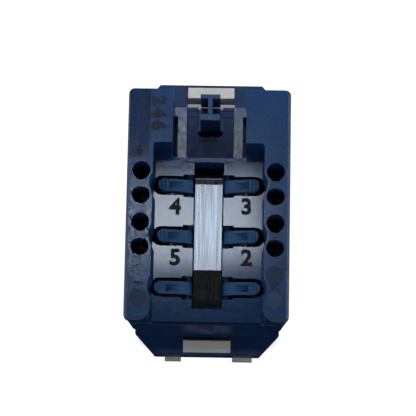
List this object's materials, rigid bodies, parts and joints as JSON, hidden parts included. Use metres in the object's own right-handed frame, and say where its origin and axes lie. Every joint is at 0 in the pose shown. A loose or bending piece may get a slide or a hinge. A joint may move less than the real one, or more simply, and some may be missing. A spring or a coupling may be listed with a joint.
{
  "type": "snap-in telephone jack insert with push-in terminals",
  "caption": "Snap-in telephone jack insert for a flush outlet, seen from its wiring side, with push-in wire entries, release levers and a sliding latch.",
  "frame": {"origin": "middle of the white outlet face, which is the plane Z = 0", "axes": "+Z out of the wiring side, +Y towards the end with the sliding latch, +X to the right as seen from the wiring side"},
  "size_m": [0.0248, 0.0446, 0.026],
  "materials": {
    "navy_plastic": "satin moulded",
    "lever_plastic": "satin moulded",
    "white_plastic": "satin moulded",
    "jack_plastic": "matt moulded",
    "strap_steel": "brushed lengthwise",
    "spring_steel": "bright rolled",
    "copper": "bare copper alloy",
    "gold_contact": "gold plated"
  },
  "bodies": {
    "insert": {"rear_cover": "navy_plastic", "housing": "navy_plastic", "front_frame": "white_plastic", "jack_body": "jack_plastic", "jack_contact_2": "gold_contact", "jack_contact_3": "gold_contact", "jack_contact_4": "gold_contact", "jack_contact_5": "gold_contact", "centre_strap": "strap_steel", "terminal_plate_2": "copper", "terminal_plate_3": "copper", "terminal_plate_4": "copper", "terminal_plate_5": "copper", "clamp_spring_2": "spring_steel", "clamp_spring_3": "spring_steel", "clamp_spring_4": "spring_steel", "clamp_spring_5": "spring_steel", "latch_spring": "spring_steel"},
    "lever_2": {"release_lever_2": "lever_plastic"},
    "lever_3": {"release_lever_3": "lever_plastic"},
    "lever_4": {"release_lever_4": "lever_plastic"},
    "lever_5": {"release_lever_5": "lever_plastic"},
    "spare_left": {"spare_lever_left": "lever_plastic"},
    "spare_right": {"spare_lever_right": "lever_plastic"},
    "latch": {"latch": "lever_plastic"}
  },
  "joints": [
    {"name": "lever_2_press", "type": "hinge", "parent": "insert", "child": "lever_2", "pos_m": [0.003, -0.0051, 0.0181], "axis": [0, 1, 0], "range_deg": [0, 14], "stiffness_Nm_per_rad": 0.004},
    {"name": "lever_3_press", "type": "hinge", "parent": "insert", "child": "lever_3", "pos_m": [0.003, 0.0029, 0.0181], "axis": [0, 1, 0], "range_deg": [0, 14], "stiffness_Nm_per_rad": 0.004},
    {"name": "lever_4_press", "type": "hinge", "parent": "insert", "child": "lever_4", "pos_m": [-0.003, 0.0029, 0.0181], "axis": [0, -1, 0], "range_deg": [0, 14], "stiffness_Nm_per_rad": 0.004},
    {"name": "lever_5_press", "type": "hinge", "parent": "insert", "child": "lever_5", "pos_m": [-0.003, -0.0051, 0.0181], "axis": [0, -1, 0], "range_deg": [0, 14], "stiffness_Nm_per_rad": 0.004},
    {"name": "spare_left_lift", "type": "hinge", "parent": "insert", "child": "spare_left", "pos_m": [-0.003, -0.0131, 0.0181], "axis": [0, 1, 0], "range_deg": [0, 8]},
    {"name": "spare_right_lift", "type": "hinge", "parent": "insert", "child": "spare_right", "pos_m": [0.003, -0.0131, 0.0181], "axis": [0, -1, 0], "range_deg": [0, 8]},
    {"name": "latch_slide", "type": "slide", "parent": "insert", "child": "latch", "axis": [0, -1, 0], "range_m": [0, 0.001], "stiffness_N_per_m": 400}
  ]
}
